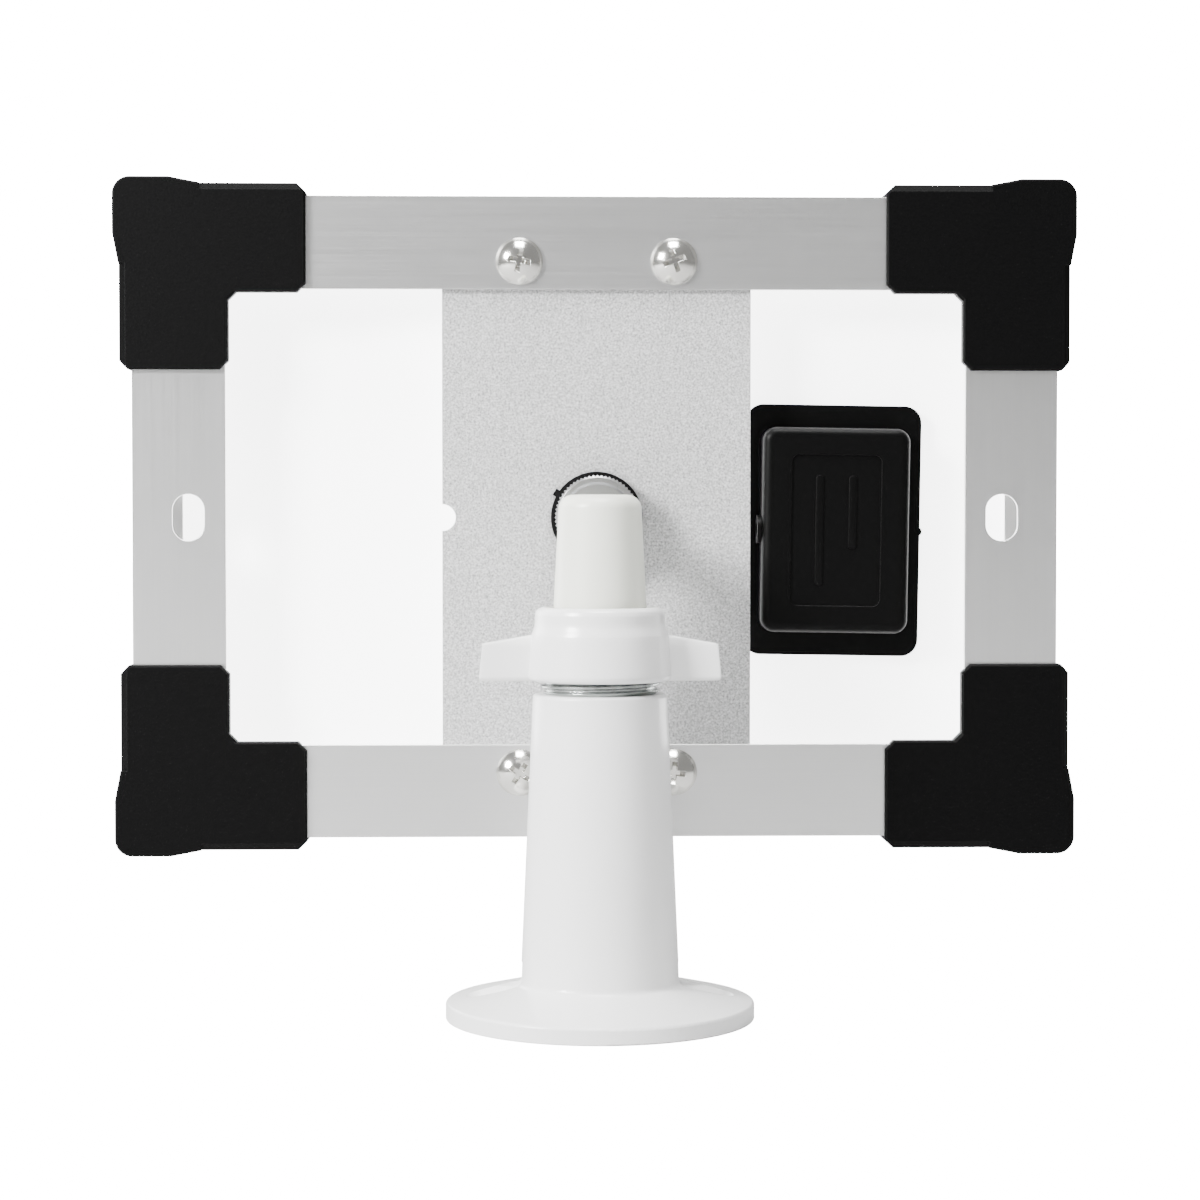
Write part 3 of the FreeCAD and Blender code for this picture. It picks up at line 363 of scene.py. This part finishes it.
# ---- Ball and stem ----
# One ivory moulding, a touch warmer than the paint around it.
ivory = finished("ivory_moulding", (0.8, 0.815, 0.73), 0.34, scale=260, spread=0.012, bump=0.000008)
dress(ivory, "ball_stem")


# ---- Wing collar ----
# Cast in one with its two thumb wings, each running into the skirt through a soft
# fillet, and powder coated like the post.
COLLAR_FOOT, COLLAR_TOP = 69.9, 85.2
COLLAR_BORE, COLLAR_RING_BORE, COLLAR_MOUTH = 12.55, 12.05, 11.4
COLLAR_SHELF, COLLAR_THREAD_TOP = 82.2, 77.3
COLLAR_OUTLINE = [(69.9, 13.55), (70.05, 14.2), (70.4, 14.65), (71.0, 14.9), (74.0, 14.65), (78.6, 14.28),
                  (79.4, 14.17), (80.0, 14.0), (80.6, 13.78), (81.2, 13.6), (82.0, 13.48), (83.7, 13.45),
                  (84.4, 13.22), (84.9, 12.65), (85.2, 11.9)]
WING_FOOT, WING_SHOULDER, WING_TOP = 69.98, 77.6, 79.4
WING_REACH, WING_ROOT_REACH, WING_HALF, WING_ROUND = 25.1, 15.2, 2.5, 1.0
WING_FILLET, WING_TIP_BLEND, WING_DRAFT = 0.8, 1.2, 0.1
WING_THIN_HEIGHT, WING_THINNING = 2.4, 0.9


def collar_radii(heights, turns):
    """r(t, h) = smooth max of the skirt's R(h) and the wings' min(X(h) / |cos t|, H(h) / |sin t|), where the
    reach X and half thickness H shrink by a quarter round at the foot and along the sloping top."""
    skirt = np.interp(heights, *np.array(COLLAR_OUTLINE).T)[:, None]
    rise = heights - WING_FOOT
    below_round = np.clip(WING_ROUND - rise, 0, WING_ROUND)
    foot = WING_ROUND - np.sqrt(np.clip(WING_ROUND ** 2 - below_round ** 2, 0, None))
    slope = np.interp(heights, [WING_SHOULDER, WING_TOP], [WING_REACH, WING_ROOT_REACH])
    reach = (slope - foot - WING_DRAFT * np.clip(rise, 0, None))[:, None]
    fall = np.clip((heights - WING_TOP + WING_THIN_HEIGHT) / WING_THIN_HEIGHT, 0, 1)
    half = (WING_HALF - foot - WING_THINNING * fall ** 2)[:, None]
    along = np.maximum(np.abs(np.cos(turns)), 1e-3)[None, :]
    across = np.maximum(np.abs(np.sin(turns)), 1e-3)[None, :]
    tip = reach / along
    flank = half / across
    gap = np.clip(WING_TIP_BLEND - np.abs(tip - flank), 0, None)
    wing = np.minimum(tip, flank) - gap ** 2 / (4 * WING_TIP_BLEND)
    wing[(heights < WING_FOOT) | (heights > WING_TOP)] = 0
    near = np.clip(WING_FILLET - np.abs(skirt - wing), 0, None)
    return np.maximum(skirt, wing) + near ** 2 / (4 * WING_FILLET)


fine_turns = np.radians(np.arange(-13, 13, 0.2))
plain_turns = np.radians(np.arange(13, 167, 1.4))
collar_turns = np.concatenate([fine_turns, plain_turns, np.pi + fine_turns, np.pi + plain_turns])
collar_heights = np.unique(np.concatenate([
    [h for h, _ in COLLAR_OUTLINE], np.linspace(70.0, 71.0, 9), np.linspace(71.5, 76.5, 8),
    np.linspace(77.0, 79.5, 22), [79.55], np.linspace(79.8, 84.8, 12)]))
collar_rings = np.concatenate([
    turned_rings([COLLAR_BORE + 0.3], [COLLAR_FOOT], collar_turns),
    turned_rings(collar_radii(collar_heights, collar_turns), collar_heights, collar_turns),
    turned_rings([COLLAR_MOUTH + 0.2, COLLAR_MOUTH, COLLAR_MOUTH, COLLAR_RING_BORE, COLLAR_RING_BORE,
                  COLLAR_BORE, COLLAR_BORE],
                 [COLLAR_TOP, COLLAR_TOP - 0.3, COLLAR_SHELF, COLLAR_SHELF, COLLAR_THREAD_TOP,
                  COLLAR_THREAD_TOP, COLLAR_FOOT + 0.3], collar_turns),
])
ring_piece("wing_collar_cast", collar_rings, white_coat, "collar", ["wing_collar"],
           poles=False)


# ---- Stud, lock nut and washer ----
# Zinc-plated stud, a knurled steel lock nut and a black rubber washer.
zinc = finished("zinc_plate", (0.6, 0.61, 0.62), 0.3, metallic=1.0, scale=900, spread=0.1, rough_spread=0.1)
nut_steel = finished("nut_steel", (0.56, 0.56, 0.56), 0.3, metallic=1.0, scale=600, spread=0.08,
                     rough_spread=0.08)
rubber = finished("black_rubber", (0.003, 0.003, 0.003), 0.7, scale=1500, spread=0.4, bump=0.00002, ior=1.2)
STUD_Z, STUD_RADIUS, STUD_ROOT, STUD_PITCH = 103.7, 3.175, 2.675, 1.27
STUD_START, STUD_PLAIN_END, STUD_TIP = -5.4, 9.65, 34.8
stud_turns = np.linspace(0, 2 * np.pi, 64, endpoint=False)
stud_places = np.arange(STUD_PLAIN_END + 0.1, STUD_TIP - 0.3, STUD_PITCH / 10)
stud_rings = np.concatenate([
    turned_rings([1.0, STUD_RADIUS, STUD_RADIUS], [STUD_START, STUD_START, STUD_PLAIN_END], stud_turns),
    turned_rings(helical_radii(stud_places, stud_turns, STUD_ROOT, STUD_RADIUS, STUD_PITCH, STUD_PLAIN_END,
                               STUD_TIP), stud_places, stud_turns),
    turned_rings([STUD_ROOT - 0.3, 1.0], [STUD_TIP, STUD_TIP], stud_turns),
])
laid_stud = np.stack([stud_rings[..., 0], stud_rings[..., 2], STUD_Z - stud_rings[..., 1]], axis=-1)
ring_piece("mounting_stud_threaded", laid_stud, zinc, "stem", ["mounting_stud"])
dress(zinc, "plate_insert_nut", "plate_nuts")
dress(nut_steel, "knurled_lock_nut")
dress(rubber, "rubber_washer")


# ---- Rails ----
# Extruded aluminium, satin anodised; the die leaves fine lines along each run.
def anodised(name, stretch):
    """Satin aluminium whose drawn lines follow the longest axis of the stretch's pattern."""
    return finished(name, (0.74, 0.74, 0.735), 0.36, metallic=1.0, scale=60, stretch=stretch, spread=0.05,
                    rough_spread=0.08, bump=0.000003)


rail_x = anodised("anodised_rail_x", (0.4, 60, 60))
rail_z = anodised("anodised_rail_z", (60, 60, 0.4))
dress(rail_x, "top_rail", "bottom_rail")
dress(rail_z, "left_rail", "right_rail")
key_alloy = finished("cast_key", (0.55, 0.55, 0.56), 0.5, metallic=1.0, scale=500)
for corner in ("top_left", "top_right", "bottom_left", "bottom_right"):
    dress(key_alloy, "corner_key_" + corner)


# ---- Corner guards ----
# Black moulded caps with a fine spark texture.
# The caps carry a painted highlight along their edges, in the lighter edge colour.
guard_black = finished("guard_plastic", (0.0006, 0.0006, 0.00065), 0.55, scale=1600, spread=0.35,
                       rough_spread=0.1, bump=0.000025, edge_highlight_colour=(0.014, 0.014, 0.014), edge=0.7,
                       ior=1.17)
for corner in ("top_left", "top_right", "bottom_left", "bottom_right"):
    dress(guard_black, "corner_guard_" + corner)


# ---- Back plate and screws ----
# Galvanised sheet and nickel-plated cross-recess screws.
galvanised = finished("galvanised_sheet", (0.5, 0.5, 0.5), 0.5, metallic=0.2, scale=2300, fine=0.35,
                      spread=1.7, rough_spread=0.3, bump=0.00005)
nickel = finished("nickel_plate", (0.75, 0.74, 0.7), 0.16, metallic=1.0, scale=900, spread=0.04)
dress(galvanised, "back_plate")
dress(nickel, "plate_screws")


# ---- Laminate ----
# Tempered glass over dark cells in clear resin, with a white backsheet.
GLASS_HALF_WIDTH, GLASS_HALF_HEIGHT, GLASS_CORNER, GLASS_EDGE = 98.0, 67.2, 1.0, 0.3
GLASS_BACK, GLASS_FRONT = 38.53, 41.8
FINGER_PITCH, FINGER_WIDTH = 0.0019, 0.00016


def rounded_slab_rings(half_u, half_v, low, high, corner, edge, centre=(0.0, 0.0)):
    """Rings of a slab lying across Y: outlines of half sizes a, b with corner radius c, drawn in by
    e (1 - cos k) and moved by e sin k at each broken edge, k from 0 to 90 degrees."""
    steps = np.radians([90, 60, 30, 0])
    levels = [(edge * (1 - np.cos(k)), low + edge * (1 - np.sin(k))) for k in steps]
    levels += [(edge * (1 - np.cos(k)), high - edge * (1 - np.sin(k))) for k in steps[::-1]]
    rings = []
    quarter = np.radians(np.linspace(0, 90, 7))
    for inset, level in levels:
        outline = []
        for side_u, side_v, turn in ((1, 1, 0), (-1, 1, 90), (-1, -1, 180), (1, -1, 270)):
            angle = quarter + math.radians(turn)
            u = centre[0] + side_u * (half_u - corner) + (corner - inset) * np.cos(angle)
            v = centre[1] + side_v * (half_v - corner) + (corner - inset) * np.sin(angle)
            outline.append(np.stack([u, np.full_like(u, level), v], axis=-1))
        rings.append(np.concatenate(outline)[::-1])
    return np.array(rings)


def add_fingers(material):
    """Silver lines across the cells: the mask is 1 where fract(z / pitch) is under width / pitch."""
    tree = material.node_tree
    place = tree.nodes.new("ShaderNodeTexCoord")
    split = tree.nodes.new("ShaderNodeSeparateXYZ")
    tree.links.new(place.outputs["Object"], split.inputs[0])
    socket = split.outputs["Z"]
    steps = (("DIVIDE", FINGER_PITCH), ("FRACT", None), ("LESS_THAN", FINGER_WIDTH / FINGER_PITCH))
    for operation, value in steps:
        node = tree.nodes.new("ShaderNodeMath")
        node.operation = operation
        tree.links.new(socket, node.inputs[0])
        if value is not None:
            node.inputs[1].default_value = value
        socket = node.outputs[0]
    mix = tree.nodes.new("ShaderNodeMix")
    mix.data_type = "RGBA"
    mix.inputs["B"].default_value = (0.3, 0.32, 0.36, 1)
    tree.links.new(socket, mix.inputs["Factor"])
    tree.links.new(tree.nodes["finish"].outputs["Color"], mix.inputs["A"])
    tree.links.new(mix.outputs["Result"], tree.nodes["Principled BSDF"].inputs["Base Color"])


cells = finished("silicon_cells", (0.012, 0.02, 0.06), 0.3, scale=300, spread=0.25)
add_fingers(cells)
tinned = finished("tinned_ribbon", (0.7, 0.7, 0.69), 0.35, metallic=1.0, scale=900)
# Painted glow: the backsheet is given emission of its own, so it reads as pure white as the sweep does.
glowing_white_sheet = finished("white_backsheet", (0.95, 0.955, 0.955), 0.45, scale=300, spread=0.01,
                       emission_color=(1, 1, 1, 1), emission_strength=4.8)
sealant = finished("black_sealant", (0.02, 0.02, 0.02), 0.5, scale=600)
dress(cells, "solar_cells")
dress(tinned, "cell_ribbons", "bus_ribbons", "output_leads")
dress(glowing_white_sheet, "backsheet")
dress(sealant, "edge_seal", "adhesive_pad")
glass = finished("cover_glass", (0.97, 0.99, 0.98), 0.04, scale=200, transmission_weight=1.0, ior=1.5)
glass_rings = rounded_slab_rings(GLASS_HALF_WIDTH, GLASS_HALF_HEIGHT, GLASS_BACK, GLASS_FRONT,
                                 GLASS_CORNER, GLASS_EDGE, centre=(0.0, STUD_Z))
ring_piece("cover_glass_sheet", glass_rings, glass, "panel", ["front_glass", "encapsulant"])


# ---- Junction box ----
# Black moulded base and snap-on lid, with two plain raised bars on the lid's sunk face.
# The black plastic carries a painted highlight along its edges, in the lighter edge colour.
box_black = finished("box_plastic", (0.0012, 0.0012, 0.0012), 0.42, scale=900, spread=0.2, bump=0.000008,
                     edge_highlight_colour=(0.01, 0.01, 0.01), edge=0.5, ior=1.18)
board = finished("circuit_board", (0.02, 0.12, 0.05), 0.4, scale=900)
brass = finished("clip_brass", (0.75, 0.58, 0.25), 0.3, metallic=1.0, scale=900)
dress(box_black, "junction_box_base", "junction_box_lid", "blocking_diode", "cable_gland")
BOX_X, BOX_Z, BOX_SKEW = 52.1, 100.9, math.radians(0.9)
LID_SUNK_FACE, BAR_TOP, BAR_BURIED = 27.9, 27.66, 0.1
BAR_HALF_WIDTH, BAR_CORNER, BAR_EDGE = 0.9, 0.85, 0.12
LID_BARS = {"lid_bar_inner": (-3.6, 0.0, 12.0), "lid_bar_outer": (3.6, 4.0, 8.0)}
for bar_name, (bar_x, bar_rise, bar_half_length) in LID_BARS.items():
    bar = rounded_slab_rings(BAR_HALF_WIDTH, bar_half_length, BAR_TOP, LID_SUNK_FACE + BAR_BURIED,
                             BAR_CORNER, BAR_EDGE)
    across = bar[..., 0] + bar_x
    up = bar[..., 2] + bar_rise
    turned = np.stack([
        BOX_X + across * math.cos(BOX_SKEW) + up * math.sin(BOX_SKEW), bar[..., 1],
        BOX_Z + up * math.cos(BOX_SKEW) - across * math.sin(BOX_SKEW)], axis=-1)
    ring_piece(bar_name, turned, box_black, "panel")
dress(board, "terminal_board")
dress(brass, "terminal_clips")
